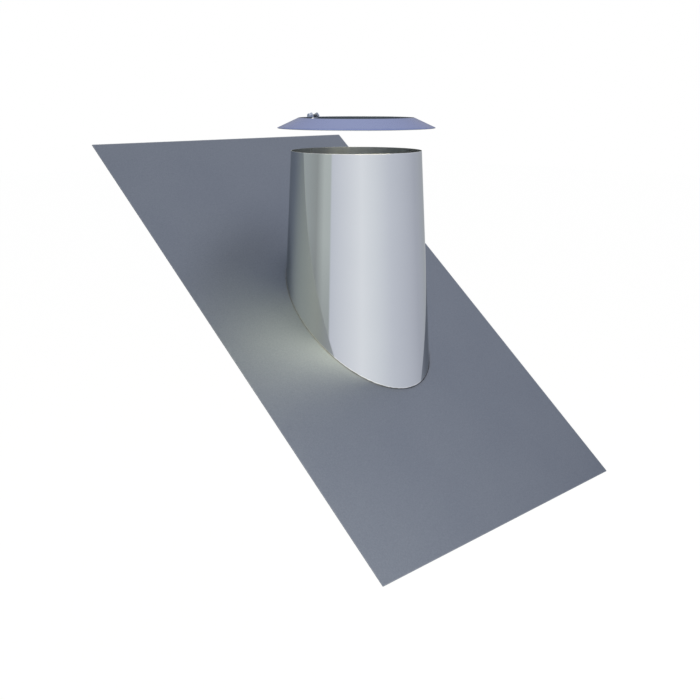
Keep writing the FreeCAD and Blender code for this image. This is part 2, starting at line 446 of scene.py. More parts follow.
def between_folds(face):
    """True for a face of the strip that is cut out for the split."""
    return uphill(face) and abs(face.calc_center_median().x) < FOLD_LINE


def on_lug(point):
    """True for a point between the two sides of the lugs, along the slope."""
    return LUG_FIRST - NEAR < section_place(point)[0] < LUG_LAST + NEAR


def fold_lug(side):
    """Make the lug at one end of the ring: side is 1 for the +X end and -1 for the other."""
    cut = side * FOLD_LINE

    def at_cut(point):
        return point.y > 0 and abs(point.x - cut) < TOUCH

    def on_end(face, lug):
        middle = face.calc_center_median()
        return at_cut(middle) and on_lug(middle) == lug

    pick("VERT", lambda vertex: at_cut(vertex.co) and on_lug(vertex.co))
    bpy.ops.mesh.edge_face_add()
    pick("EDGE", lambda edge: edge.is_boundary and all(at_cut(vertex.co) for vertex in edge.verts))
    bpy.ops.mesh.edge_face_add()
    pick("FACE", lambda face: on_end(face, lug=False))
    forward = Vector((SPLIT_GAP / 2 - FOLD_LINE, 0, 0)) * side
    bpy.ops.mesh.extrude_region_move(TRANSFORM_OT_translate={"value": forward})
    pick("FACE", lambda face: on_end(face, lug=True))
    bend_line = section_point(LUG_FIRST, COLLAR_SHEET + LUG_BEND) + Vector((cut, 0, 0))
    bpy.ops.mesh.spin(
        steps=LUG_BEND_STEPS, angle=-side * math.pi / 2, center=bend_line, axis=DOWN_SLOPE,
        use_auto_merge=False,
    )
    rise = OFF_SLOPE * (LUG_TOP - COLLAR_SHEET - LUG_BEND)
    bpy.ops.mesh.extrude_region_move(TRANSFORM_OT_translate={"value": rise})


for side in (1, -1):
    pick("FACE", uphill)
    bpy.ops.mesh.bisect(plane_co=(side * FOLD_LINE, 0, 0), plane_no=(1, 0, 0), threshold=TOUCH / 10)
pick("FACE", between_folds)
bpy.ops.mesh.delete(type="FACE")
for side in (1, -1):
    fold_lug(side)
tidy_mesh()
print("lugs stand", f"{(LUG_TOP - COLLAR_SHEET) / MM:.1f} mm over the collar")

# %% [markdown]
# The top corners of the lugs are rounded with a bevel, and the screw hole is drilled through both lugs at
# once with a boolean cutter. A last narrow bevel takes the burr off every sheared edge, so that the edges
# catch a thin line of light, as cut sheet does.

# %% Round the lugs, drill them and ease the edges
HOLE_RADIUS = 2.75 * MM
HOLE_POINTS = 48
SHEET_EASE = 0.1 * MM
EASE_OVER = math.radians(50)  # an edge is eased where its faces turn by more than this
STRAIGHT = 0.99  # share of an edge's length along X, from which it runs straight across


def lug_corner(edge):
    """True for an edge across the sheet, at a top corner of a lug."""
    first, last = (vertex.co for vertex in edge.verts)
    across = abs((last - first).normalized().x) > STRAIGHT
    heights = [(point - section_point(0, 0)).dot(OFF_SLOPE) for point in (first, last)]
    return across and min(heights) > LUG_TOP - NEAR


def cut_with(piece, operation, add_primitive, **settings):
    """Use a primitive as a boolean tool on a piece, and remove it again."""
    bpy.ops.object.mode_set(mode="OBJECT")
    tool = begin("cutter", add_primitive, **settings)
    apply_modifier(piece, "BOOLEAN", operation=operation, object=tool, solver="EXACT")
    bpy.data.objects.remove(tool)


pick("EDGE", lug_corner)
bpy.ops.mesh.bevel(offset=LUG_CORNER, segments=LUG_CORNER_STEPS, affect="EDGES")
cut_with(
    collar, "DIFFERENCE", bpy.ops.mesh.primitive_cylinder_add, vertices=HOLE_POINTS, radius=HOLE_RADIUS,
    depth=2 * SPLIT_GAP, location=(0, SCREW_MIDDLE.y, SCREW_MIDDLE.z), rotation=(0, math.pi / 2, 0),
)
apply_modifier(
    collar, "BEVEL", width=SHEET_EASE, segments=2, limit_method="ANGLE", angle_limit=EASE_OVER
)
finish_piece(collar, "storm_collar")

# %% [markdown]
# ## The clamp screw
# The clamp is a plain M5 hexagon screw and nut. The nut's CAD shape is right and stays. The screw's CAD
# shank is smooth, so a threaded one stands for it here. Its head comes first: a six-sided prism, turned
# until two flats lie along the collar's slope. A wide cone cuts back its outer corners.

# %% Model the screw's head
HEAD_HEIGHT = 3.5 * MM
HEAD_CHAMFER = math.radians(30)
HEAD_FACE_RADIUS = SCREW_FLATS / 2 - 0.2 * MM  # flat of the head, inside the chamfer
HEAD_POINTS = 96

HEAD_MIDDLE = Vector((screw_low.x + HEAD_HEIGHT / 2, SCREW_MIDDLE.y, SCREW_MIDDLE.z))

screw = begin(
    "threaded_screw", bpy.ops.mesh.primitive_cylinder_add, vertices=6, radius=SCREW_FLATS / math.sqrt(3),
    depth=HEAD_HEIGHT, location=HEAD_MIDDLE, rotation=(0, math.pi / 2, 0),
)
bpy.ops.mesh.select_all(action="SELECT")
bpy.ops.transform.rotate(value=COLLAR_SLOPE, orient_axis="X", center_override=HEAD_MIDDLE)
cut_with(
    screw, "INTERSECT", bpy.ops.mesh.primitive_cone_add, vertices=HEAD_POINTS,
    radius1=HEAD_FACE_RADIUS + HEAD_HEIGHT / math.tan(HEAD_CHAMFER), radius2=HEAD_FACE_RADIUS,
    depth=HEAD_HEIGHT, location=HEAD_MIDDLE, rotation=(0, -math.pi / 2, 0),
)
print(f"head of {SCREW_FLATS / MM:.0f} mm across flats")

# %% [markdown]
# The thread is one tooth, carried round and along by a screw modifier, which is how a die cuts it. It is
# made at the origin and trimmed, its tip is chamfered, and then it is moved into the head and joined
# with it.

# %% Cut the thread and join it with the head
SCREW_RADIUS = 2.5 * MM
SHANK_LENGTH = screw_high.x - screw_low.x - HEAD_HEIGHT
TIP_CHAMFER = 0.6 * MM
THREAD_PITCH = 0.8 * MM
THREAD_DEPTH = 0.541 * THREAD_PITCH
THREAD_STEPS = 40
THREAD_OVERLAP = 0.5 * MM  # how far the thread runs into the head

# One tooth, as shares of the pitch along the screw and of the depth over the root
tooth = [(0, 0), (0.25, 0), (0.5625, 1), (0.6875, 1), (1, 0)]
root = SCREW_RADIUS - THREAD_DEPTH
thread = begin("thread", bpy.ops.mesh.primitive_circle_add, vertices=len(tooth))
place_points([Vector((along * THREAD_PITCH, root + rise * THREAD_DEPTH, 0)) for along, rise in tooth])
pick("EDGE", lambda edge: edge.calc_length() > THREAD_PITCH - TOUCH)
bpy.ops.mesh.delete(type="EDGE_FACE")
turns = math.ceil((SHANK_LENGTH + THREAD_OVERLAP) / THREAD_PITCH) + 2
apply_modifier(
    thread, "SCREW", axis="X", angle=math.tau, screw_offset=THREAD_PITCH, iterations=turns,
    steps=THREAD_STEPS, render_steps=THREAD_STEPS, use_merge_vertices=True, merge_threshold=TOUCH / 4,
)
bpy.ops.object.mode_set(mode="EDIT")
thread_start = Vector((THREAD_PITCH, 0, 0))
thread_end = thread_start + Vector((SHANK_LENGTH + THREAD_OVERLAP, 0, 0))
cut_all(thread_start, Vector((1, 0, 0)), clear_inner=True, use_fill=True)
cut_all(thread_end, Vector((1, 0, 0)), clear_outer=True, use_fill=True)


def chamfer_tip(point):
    """Draw a point near the tip in to the chamfer."""
    allowed = SCREW_RADIUS - max(0, TIP_CHAMFER - (thread_end.x - point.x))
    radius = math.hypot(point.y, point.z)
    share = min(1, allowed / radius) if radius else 1
    return Vector((point.x, point.y * share, point.z * share))


bpy.ops.mesh.select_all(action="SELECT")
move_selected(chamfer_tip)
tidy_mesh()
bpy.ops.transform.translate(value=Vector((screw_high.x, SCREW_MIDDLE.y, SCREW_MIDDLE.z)) - thread_end)
apply_modifier(screw, "BOOLEAN", operation="UNION", object=thread, solver="EXACT")
bpy.data.objects.remove(thread)
bpy.ops.object.mode_set(mode="EDIT")
tidy_mesh()
square_up()
finish_piece(screw, "clamp_screw", sharp=25)

# %% [markdown]
# ## Finishes
# Every finish is a Principled shader whose colour, roughness and bump vary over the surface. Three effects
# are used by more than one finish, so each is a node group that is built once: the grain and clouding of
# rolled sheet, the rub along an edge, and the tint that a weld leaves. A group puts out only masks, values
# and tints. The shader itself stays in the material.

# %% Helpers for shader nodes
def add_node(tree, kind, inputs=None, **settings):
    """Add a node. Inputs name a socket, or number it, and give a value or another node's output."""
    node = tree.nodes.new("ShaderNode" + kind)
    for setting, value in settings.items():
        setattr(node, setting, value)
    for socket, value in (inputs or {}).items():
        if isinstance(value, bpy.types.NodeSocket):
            tree.links.new(value, node.inputs[socket])
        else:
            node.inputs[socket].default_value = value
    return node


def math_node(tree, operation, *values):
    return add_node(tree, "Math", dict(enumerate(values)), operation=operation).outputs[0]


def vector_node(tree, operation, *values):
    return add_node(tree, "VectorMath", dict(enumerate(values)), operation=operation)


def spread(tree, value, low, high):
    """Stretch a mask from 0 to 1 over another range."""
    return add_node(tree, "MapRange", {"Value": value, "To Min": low, "To Max": high}).outputs["Result"]


def mix_colours(tree, mask, first, second, blend="MIX"):
    """Mix two colours by a mask. Sockets 0, 6 and 7 of the node are its factor and its two colours."""
    inputs = {0: mask, 6: first, 7: second}
    return add_node(tree, "Mix", inputs, data_type="RGBA", blend_type=blend).outputs[2]


def fill_ramp(node, stops):
    """Give a colour ramp its stops, each a position and a colour."""
    ramp = node.color_ramp.elements
    while len(ramp) < len(stops):
        ramp.new(0.5)
    for stop, (position, colour) in zip(ramp, stops):
        stop.position = position
        stop.color = colour


def new_group(name, inputs, outputs):
    """Start a node group with named sockets, and give its tree, its input node and its output node."""
    tree = bpy.data.node_groups.new(name, "ShaderNodeTree")
    for in_out, sockets in (("INPUT", inputs), ("OUTPUT", outputs)):
        for socket, kind in sockets.items():
            tree.interface.new_socket(socket, in_out=in_out, socket_type="NodeSocket" + kind)
    return tree, tree.nodes.new("NodeGroupInput"), tree.nodes.new("NodeGroupOutput")


# %% [markdown]
# Rolled sheet is never quite even. Close up it has a fine grain, which is drawn out along the rolling
# direction, and from further off it is a little clouded. Both are noise on the piece's own coordinates.
# The grain is counted per metre along each axis, so that one group gives an even grain or long lines.

# %% Grain and clouding of sheet
sheet_grain, given, made = new_group(
    "sheet_grain",
    {"Coordinates": "Vector", "Grain per metre": "Vector", "Clouds per metre": "Float"},
    {"Grain": "Float", "Clouds": "Float"},
)
scaled = vector_node(
    sheet_grain, "MULTIPLY", given.outputs["Coordinates"], given.outputs["Grain per metre"]
)
grain = add_node(sheet_grain, "TexNoise", {"Vector": scaled.outputs[0], "Scale": 1, "Detail": 3})
clouds = add_node(
    sheet_grain, "TexNoise",
    {"Vector": given.outputs["Coordinates"], "Scale": given.outputs["Clouds per metre"], "Detail": 2},
)
sheet_grain.links.new(grain.outputs[0], made.inputs["Grain"])
sheet_grain.links.new(clouds.outputs[0], made.inputs["Clouds"])
print("group:", sheet_grain.name)

# %% [markdown]
# Cut edges are rubbed bright where the sheet is handled. The group takes how far a point is from the edge,
# which each material works out for its own piece, and gives a mask that fades over an uneven width. The
# same mask also places a painted highlight line at the cone's foot and painted shade along the collar's
# fold.

# %% Rub along an edge
PATCHES = 90  # per metre
RUB_UNEVEN = (0.1, 1.6)  # least and most of the width

edge_rub_and_painted_light, given, made = new_group(
    "edge_rub_and_painted_light", {"Coordinates": "Vector", "Distance": "Float", "Width": "Float"}, {"Mask": "Float"}
)
patches = add_node(
    edge_rub_and_painted_light, "TexNoise", {"Vector": given.outputs["Coordinates"], "Scale": PATCHES, "Detail": 3}
)
uneven = spread(edge_rub_and_painted_light, patches.outputs[0], *RUB_UNEVEN)
width = math_node(edge_rub_and_painted_light, "MULTIPLY", given.outputs["Width"], uneven)
mask = add_node(
    edge_rub_and_painted_light, "MapRange", {"Value": given.outputs["Distance"], "From Max": width, "To Min": 1, "To Max": 0}
)
edge_rub_and_painted_light.links.new(mask.outputs["Result"], made.inputs["Mask"])
print("group:", edge_rub_and_painted_light.name)

# %% [markdown]
# A weld leaves a narrow band of tint on the steel beside it: grey-blue close to the bead, then straw,
# then nothing. Cleaning takes most of it off, so the tints are faint. The group takes the distance from
# the bead.

# %% Tint beside a weld
TINT_BY_SHARE = [(0.0, (0.86, 0.87, 0.90, 1)), (0.4, (0.97, 0.95, 0.92, 1)), (1.0, (1, 1, 1, 1))]
TINT_UNEVEN = (0.5, 1.5)  # least and most of the reach

weld_tint, given, made = new_group(
    "weld_tint", {"Coordinates": "Vector", "Distance": "Float", "Reach": "Float"}, {"Tint": "Color"}
)
patches = add_node(
    weld_tint, "TexNoise", {"Vector": given.outputs["Coordinates"], "Scale": PATCHES, "Detail": 2}
)
uneven = spread(weld_tint, patches.outputs[0], *TINT_UNEVEN)
reach = math_node(weld_tint, "MULTIPLY", given.outputs["Reach"], uneven)
share = add_node(weld_tint, "MapRange", {"Value": given.outputs["Distance"], "From Max": reach})
tints = add_node(weld_tint, "ValToRGB", {"Fac": share.outputs["Result"]})
fill_ramp(tints, TINT_BY_SHARE)
weld_tint.links.new(tints.outputs["Color"], made.inputs["Tint"])
print("group:", weld_tint.name)

# %% [markdown]
# ### Starting a metal
# All pieces are bare metal, so every finish starts the same way. Masks need distances, such as from an
# edge or from the cone's wall. They come from the piece's own coordinates, so no mask has to be painted.

# %% Helpers for a metal
LEVEL = (1, 1, 0)  # the directions across the flue's axis


def new_metal(name):
    """Start a metal: its tree, its Principled shader and the piece's own coordinates."""
    material = bpy.data.materials.new(name)
    material.use_nodes = True
    tree = material.node_tree
    shader = tree.nodes["Principled BSDF"]
    shader.inputs["Metallic"].default_value = 1
    place = add_node(tree, "TexCoord").outputs["Object"]
    return material, tree, shader, place


def connect(tree, shader, colour, roughness, grain, depth, strength):
    """Give a shader its colour, its roughness and the grain as a bump of some depth and strength."""
    tree.links.new(colour, shader.inputs["Base Color"])
    tree.links.new(roughness, shader.inputs["Roughness"])
    bump = add_node(tree, "Bump", {"Strength": strength, "Distance": depth, "Height": grain})
    tree.links.new(bump.outputs["Normal"], shader.inputs["Normal"])


def sheet_of(tree, place, grain, clouds):
    """The grain and the clouding of a sheet, by how many there are to the metre."""
    inputs = {"Coordinates": place, "Grain per metre": grain, "Clouds per metre": clouds}
    return add_node(tree, "Group", inputs, node_tree=sheet_grain).outputs


def rub_and_painted_light_of(tree, place, distance, width, share=1):
    """A band along an edge, by the distance from it, its width and how much of it shows. It marks rubs,
    and also painted highlight and painted shade.
    """
    inputs = {"Coordinates": place, "Distance": distance, "Width": width}
    mask = add_node(tree, "Group", inputs, node_tree=edge_rub_and_painted_light).outputs["Mask"]
    return math_node(tree, "MULTIPLY", mask, share)


def tint_of(tree, place, distance, reach):
    """The tint beside a weld, by the distance from it and its reach."""
    inputs = {"Coordinates": place, "Distance": distance, "Reach": reach}
    return add_node(tree, "Group", inputs, node_tree=weld_tint).outputs["Tint"]


def axis_of(tree, place, number):
    """One of a point's coordinates: 0 for X, 1 for Y and 2 for Z."""
    return add_node(tree, "SeparateXYZ", {0: place}).outputs[number]


def from_axis(tree, place, across):
    """How far a point is from an axis, where across is 1 in the directions that count."""
    flat = vector_node(tree, "MULTIPLY", place, across).outputs[0]
    return vector_node(tree, "LENGTH", flat).outputs["Value"]


def from_cone(tree, place):
    """How far a point is outside the cone's wall, level."""
    wall = math_node(tree, "MULTIPLY_ADD", axis_of(tree, place, 2), -math.tan(CONE_TAPER), cone_radius(0))
    return math_node(tree, "SUBTRACT", from_axis(tree, place, LEVEL), wall)


def least(tree, *distances):
    """The smallest of several distances."""
    found = distances[0]
    for distance in distances[1:]:
        found = math_node(tree, "MINIMUM", found, distance)
    return found


# %% [markdown]
# ### Matt plate steel
# The plate is dark, matt rolled sheet with an even, fine grain. Its grain shows as specks of slightly
# different tone and as a slight unevenness of the surface. The plate lies on the slope, so its coordinates
# are first turned by the pitch, and then its edges are at plain distances from the middle.

# %% Plate finish
PLATE_HALF_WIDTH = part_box("base_plate")[1].x
PLATE_HALF_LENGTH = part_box("base_plate")[1].y / math.cos(ROOF_PITCH)
PLATE_GRAIN = (420, 420, 420)  # specks per metre
PLATE_CLOUDS = 7
PLATE_TONES = (0.133, 0.153, 0.202, 1), (0.154, 0.176, 0.229, 1)
PLATE_SPECKS = (0.84, 0.84, 0.86, 1), (1.16, 1.16, 1.14, 1)
PLATE_ROUGHNESS = (0.36, 0.48)
PLATE_BUMP = (0.3 * MM, 0.5)  # depth and strength
PLATE_RUB_WIDTH = 2.2 * MM
PLATE_RUB = 0.35  # how much of the rubbed tone shows
PLATE_RUBBED = (0.34, 0.37, 0.43, 1)
PLATE_TINT_REACH = 5 * MM

plate_steel, tree, shader, place = new_metal("matt_plate_steel")
sheet = sheet_of(tree, place, PLATE_GRAIN, PLATE_CLOUDS)
laid_flat = add_node(tree, "Mapping", {"Vector": place, "Rotation": (-ROOF_PITCH, 0, 0)}).outputs[0]
sides = vector_node(tree, "ABSOLUTE", laid_flat).outputs[0]
edge = least(
    tree,
    math_node(tree, "SUBTRACT", PLATE_HALF_WIDTH, axis_of(tree, sides, 0)),
    math_node(tree, "SUBTRACT", PLATE_HALF_LENGTH, axis_of(tree, sides, 1)),
)
rub = rub_and_painted_light_of(tree, place, edge, PLATE_RUB_WIDTH, PLATE_RUB)
tint = tint_of(tree, place, from_cone(tree, place), PLATE_TINT_REACH)

colour = mix_colours(tree, sheet["Clouds"], *PLATE_TONES)
specks = mix_colours(tree, sheet["Grain"], *PLATE_SPECKS)
colour = mix_colours(tree, 1.0, colour, specks, "MULTIPLY")
colour = mix_colours(tree, 1.0, colour, tint, "MULTIPLY")
colour = mix_colours(tree, rub, colour, PLATE_RUBBED)
roughness = spread(tree, sheet["Clouds"], *PLATE_ROUGHNESS)
connect(tree, shader, colour, roughness, sheet["Grain"], *PLATE_BUMP)
print("finish:", plate_steel.name)

# %% [markdown]
# ### Bright cone steel
# The cone is rolled from bright sheet, nearly a mirror. Its fine polish lines run level round the wall,
# so they soften a reflection up and down but leave upright edges sharp. The inner face is left as it came
# from the mill, duller, and it is painted darker as the shade inside the cone, with faint painted
# reflection bands up the wall. A mask tells the two faces apart by their distance from the outer wall.

# %% Cone finish
CONE_LINES = (14, 14, 1500)  # per metre, so that the polish lines run level round the wall
CONE_CLOUDS = 11
CONE_TONES = (0.650, 0.680, 0.726, 1), (0.680, 0.710, 0.754, 1)
CONE_ROUGHNESS = (0.03, 0.06)
CONE_LINE_ROUGHNESS = (0.0, 0.03)  # added by the polish lines
CONE_GLANCE = (0.74, 0.75, 0.73, 1)  # tint of the mirror at a glancing angle
CONE_BUMP = (0.02 * MM, 0.02)
# A bright band at the rim and the foot: wear at the rim, a painted highlight line at the foot
CONE_WEAR_AND_HIGHLIGHT_WIDTH = 1.8 * MM
CONE_WEAR_AND_HIGHLIGHT = 0.8
CONE_WEAR_AND_HIGHLIGHT_TONE = (0.95, 0.96, 0.97, 1)
CONE_TINT_REACH = 8 * MM
# Painted reflection bands and painted shade on the cone's inner face
INNER_REFLECTION_BANDS = (70, 70, 1.5)  # per metre, so that they run up the wall
INNER_SHADE_TONES = (0.34, 0.365, 0.395, 1), (0.56, 0.595, 0.64, 1)
MILL_ROUGHNESS = (0.24, 0.36)


def from_seam(tree, place):
    """How far a point of the cone is from the seam on its uphill side, where only X counts."""
    uphill_only = vector_node(tree, "MINIMUM", place, (1, 0, 0)).outputs[0]
    return from_axis(tree, uphill_only, LEVEL)


cone_steel, tree, shader, place = new_metal("bright_cone_steel")
sheet = sheet_of(tree, place, CONE_LINES, CONE_CLOUDS)
height = vector_node(tree, "DOT_PRODUCT", place, ROOF_NORMAL).outputs["Value"]
over_foot = math_node(tree, "SUBTRACT", height, PLATE_SHEET)
under_rim = math_node(tree, "SUBTRACT", RIM_HEIGHT, axis_of(tree, place, 2))
ends = least(tree, under_rim, math_node(tree, "SUBTRACT", over_foot, WELD_LEG))
# Wear at the rim, painted highlight line at the foot
rub = rub_and_painted_light_of(tree, place, ends, CONE_WEAR_AND_HIGHLIGHT_WIDTH, CONE_WEAR_AND_HIGHLIGHT)
tint = tint_of(tree, place, from_seam(tree, place), CONE_TINT_REACH)
inside = math_node(tree, "LESS_THAN", from_cone(tree, place), -CONE_SHEET / 2)

colour = mix_colours(tree, sheet["Clouds"], *CONE_TONES)
colour = mix_colours(tree, 1.0, colour, tint, "MULTIPLY")
colour = mix_colours(tree, rub, colour, CONE_WEAR_AND_HIGHLIGHT_TONE)
# The inner face: painted reflection bands over a tone darkened as painted shade
reflection_bands = sheet_of(tree, place, INNER_REFLECTION_BANDS, CONE_CLOUDS)["Grain"]
other_face = mix_colours(tree, reflection_bands, *INNER_SHADE_TONES)
colour = mix_colours(tree, inside, colour, other_face)
polish = math_node(
    tree, "ADD",
    spread(tree, sheet["Clouds"], *CONE_ROUGHNESS), spread(tree, sheet["Grain"], *CONE_LINE_ROUGHNESS),
)
dull = spread(tree, sheet["Clouds"], *MILL_ROUGHNESS)
roughness = add_node(tree, "Mix", {0: inside, 2: polish, 3: dull}, data_type="FLOAT").outputs[0]
shader.inputs["Specular Tint"].default_value = CONE_GLANCE
connect(tree, shader, colour, roughness, sheet["Grain"], *CONE_BUMP)
print("finish:", cone_steel.name)

# %% [markdown]
# ### Weld steel
# The welds are the same steel, grey and rough where it has run and cooled. The foot weld's tones are made
# darker than the seam's as painted contact shadow at the foot, and its low end, in front, is painted
# darker still as shadow. Both come from one function, which takes the two tones.

# %% Weld finishes
BEAD_GRAIN = (900, 900, 900)  # per metre
BEAD_CLOUDS = 60
BEAD_ROUGHNESS = (0.38, 0.55)
BEAD_BUMP = (0.2 * MM, 0.25)
# Painted shadow at the low end of the foot weld: its tone, where it begins and where it is full
FOOT_SHADOW_TONE = (0.060, 0.066, 0.082, 1)
FOOT_SHADOW_START = -50 * MM  # along +Y, where the dark scale of the foot weld begins
FOOT_SHADOW_FULL = -90 * MM


def bead_finish(name, dark, pale):
    """Rough steel of a bead, clouded between a dark and a pale tone, with painted shadow at its low end.
    """
    finish, tree, shader, place = new_metal(name)
    bead = sheet_of(tree, place, BEAD_GRAIN, BEAD_CLOUDS)
    along = axis_of(tree, place, 1)
    # Painted shadow at the low end of the foot
    scale = add_node(tree, "MapRange", {"Value": along, "From Min": FOOT_SHADOW_START, "From Max": FOOT_SHADOW_FULL})
    colour = mix_colours(tree, bead["Clouds"], dark, pale)
    colour = mix_colours(tree, scale.outputs["Result"], colour, FOOT_SHADOW_TONE)
    roughness = spread(tree, bead["Clouds"], *BEAD_ROUGHNESS)
    connect(tree, shader, colour, roughness, bead["Grain"], *BEAD_BUMP)
    print("finish:", finish.name)
    return finish


# The foot weld's grey tones are darkened further as painted contact shadow under the cone's foot
foot_bead_and_shadow = bead_finish("foot_bead_steel", (0.068, 0.075, 0.092, 1), (0.108, 0.118, 0.135, 1))
seam_bead = bead_finish("seam_bead_steel", (0.20, 0.22, 0.25, 1), (0.30, 0.32, 0.35, 1))

# %% [markdown]
# ### Collar steel
# The collar is a satin steel sheet, with its polish lines level round the ring. Its lilac-blue colour is a
# painted reflection of a blue sky. Along the fold of the hem it is painted deeper, as shade, and it is
# bright where the edge of the flue hole is rubbed. Its lugs are duller, and painted paler as a stand-in
# for light on their faces. Its underside is plain mill sheet, without the painted sky. The lugs and the
# underside are told apart by how far they are over the sloping sheet.

# %% Collar finish
COLLAR_LINES = (16, 16, 1700)  # per metre, so that the polish lines run level round the ring
COLLAR_CLOUDS = 11
# Painted reflection of a blue sky; the steel itself is neutral
COLLAR_PAINTED_SKY_TONES = (0.283, 0.323, 0.518, 1), (0.305, 0.346, 0.553, 1)
COLLAR_LINE_TONES = (0.96, 0.96, 0.97, 1), (1.04, 1.04, 1.03, 1)
COLLAR_ROUGHNESS = (0.22, 0.32)
COLLAR_GLANCE = (0.55, 0.56, 0.62, 1)
COLLAR_BUMP = (0.02 * MM, 0.02)
# Painted shade along the fold of the hem: its width, its share and its tone
FOLD_SHADE_WIDTH = 7 * MM
FOLD_SHADE = 0.9  # how much of the deeper tone shows
FOLD_SHADE_TONE = (0.205, 0.250, 0.480, 1)
HOLE_RUB_WIDTH = 1.2 * MM
HOLE_RUB = 0.4
HOLE_RUBBED = (0.50, 0.53, 0.64, 1)
# Painted light: the lugs' faces are made paler to look lit
LUG_PAINTED_LIGHT_TONE = (0.44, 0.48, 0.62, 1)
LUG_DULLNESS = 0.25  # added to the roughness
UNDERSIDE_TONES = (0.31, 0.34, 0.31, 1), (0.36, 0.39, 0.36, 1)

collar_steel, tree, shader, place = new_metal("satin_collar_steel")
sheet = sheet_of(tree, place, COLLAR_LINES, COLLAR_CLOUDS)
radius = from_axis(tree, place, LEVEL)
to_fold = math_node(tree, "SUBTRACT", COLLAR_RADIUS, radius)
to_hole = math_node(tree, "SUBTRACT", radius, FLUE_RADIUS)
# Painted shade, faded in from the fold with the edge-band mask
fold_shade = rub_and_painted_light_of(tree, place, to_fold, FOLD_SHADE_WIDTH, FOLD_SHADE)
rub = rub_and_painted_light_of(tree, place, to_hole, HOLE_RUB_WIDTH, HOLE_RUB)
over_fold = math_node(tree, "SUBTRACT", axis_of(tree, place, 2), FOLD_HEIGHT)
over_slope = math_node(tree, "MULTIPLY_ADD", radius, math.tan(COLLAR_SLOPE), over_fold)
sheet_middle = FOLD_RADIUS * math.tan(COLLAR_SLOPE) + COLLAR_SHEET / 2
over_sheet = math_node(tree, "SUBTRACT", over_slope, sheet_middle)
underside = math_node(tree, "LESS_THAN", over_sheet, 0)
lugs = math_node(tree, "GREATER_THAN", over_sheet, 2 * COLLAR_SHEET)

# The base colour is the painted sky reflection
colour = mix_colours(tree, sheet["Clouds"], *COLLAR_PAINTED_SKY_TONES)
lines = mix_colours(tree, sheet["Grain"], *COLLAR_LINE_TONES)
colour = mix_colours(tree, 1.0, colour, lines, "MULTIPLY")
# Painted shade along the fold
colour = mix_colours(tree, fold_shade, colour, FOLD_SHADE_TONE)
colour = mix_colours(tree, rub, colour, HOLE_RUBBED)
# Painted light on the lugs
colour = mix_colours(tree, lugs, colour, LUG_PAINTED_LIGHT_TONE)
other_face = mix_colours(tree, sheet["Clouds"], *UNDERSIDE_TONES)
colour = mix_colours(tree, underside, colour, other_face)
satin = spread(tree, sheet["Clouds"], *COLLAR_ROUGHNESS)
roughness = math_node(tree, "MULTIPLY_ADD", lugs, LUG_DULLNESS, satin)
shader.inputs["Specular Tint"].default_value = COLLAR_GLANCE
connect(tree, shader, colour, roughness, sheet["Grain"], *COLLAR_BUMP)
print("finish:", collar_steel.name)

# %% [markdown]
# ### Fastener steel
# The screw and nut are plain bright plated steel, turned and pressed, with their corners rubbed. The
# thread, which runs between the lugs, is painted dark as shade. One material serves both: it measures
# from the middle of the screw, which is also the nut's axis.

# %% Fastener finish
ROUND_SCREW = (0, 1, 1)  # the directions across the screw
SHANK_START = HEAD_MIDDLE.x + HEAD_HEIGHT / 2 - SCREW_MIDDLE.x
PLATING_GRAIN = (2600, 900, 900)  # per metre
PLATING_CLOUDS = 220
PLATING_TONES = (0.42, 0.47, 0.66, 1), (0.50, 0.55, 0.74, 1)
PLATING_ROUGHNESS = (0.16, 0.30)
PLATING_BUMP = (0.02 * MM, 0.12)
CORNER_RUB_WIDTH = 0.45 * MM
CORNER_RUBBED = (0.72, 0.75, 0.84, 1)
# Painted shade in the thread between the lugs: how much of it shows and its tone
THREAD_SHADE = 0.85  # how much of the oily tone shows
THREAD_SHADE_TONE = (0.05, 0.055, 0.07, 1)

fastener_steel, tree, shader, place = new_metal("plated_fastener_steel")
plating = sheet_of(tree, place, PLATING_GRAIN, PLATING_CLOUDS)
centred = add_node(tree, "Mapping", {"Vector": place, "Location": -SCREW_MIDDLE}).outputs[0]
radius = from_axis(tree, centred, ROUND_SCREW)
to_corner = math_node(tree, "SUBTRACT", SCREW_FLATS / math.sqrt(3), radius)
rub = rub_and_painted_light_of(tree, place, to_corner, CORNER_RUB_WIDTH)
past_head = math_node(tree, "GREATER_THAN", axis_of(tree, centred, 0), SHANK_START)
in_thread = math_node(tree, "LESS_THAN", radius, SCREW_RADIUS + NEAR)
# Painted shade in the thread
thread_shade = math_node(tree, "MULTIPLY", math_node(tree, "MULTIPLY", past_head, in_thread), THREAD_SHADE)

colour = mix_colours(tree, plating["Clouds"], *PLATING_TONES)
colour = mix_colours(tree, rub, colour, CORNER_RUBBED)
colour = mix_colours(tree, thread_shade, colour, THREAD_SHADE_TONE)
roughness = spread(tree, plating["Grain"], *PLATING_ROUGHNESS)
connect(tree, shader, colour, roughness, plating["Grain"], *PLATING_BUMP)
print("finish:", fastener_steel.name)

# %% [markdown]
# Each piece gets its finish. The plate and the nut are CAD nodes whose shape stays, so only their material
# slots change.

# %% Give every piece its finish
finishes = {
    "base_plate": plate_steel,
    "cone_shell": cone_steel,
    "foot_weld": foot_bead_and_shadow,
    "cone_seam": seam_bead,
    "collar_ring": collar_steel,
    "threaded_screw": fastener_steel,
    "clamp_nut": fastener_steel,
}
pieces = {piece.name: piece for piece in (cone, weld, seam, collar, screw)}
pieces["base_plate"] = frame["nodes"]["base_plate"]
pieces["clamp_nut"] = frame["nodes"]["clamp_nut"]
for name, finish in finishes.items():
    if not pieces[name].material_slots:
        pieces[name].data.materials.append(None)
    for slot in pieces[name].material_slots:
        slot.material = finish
    print(name, "is", finish.name)

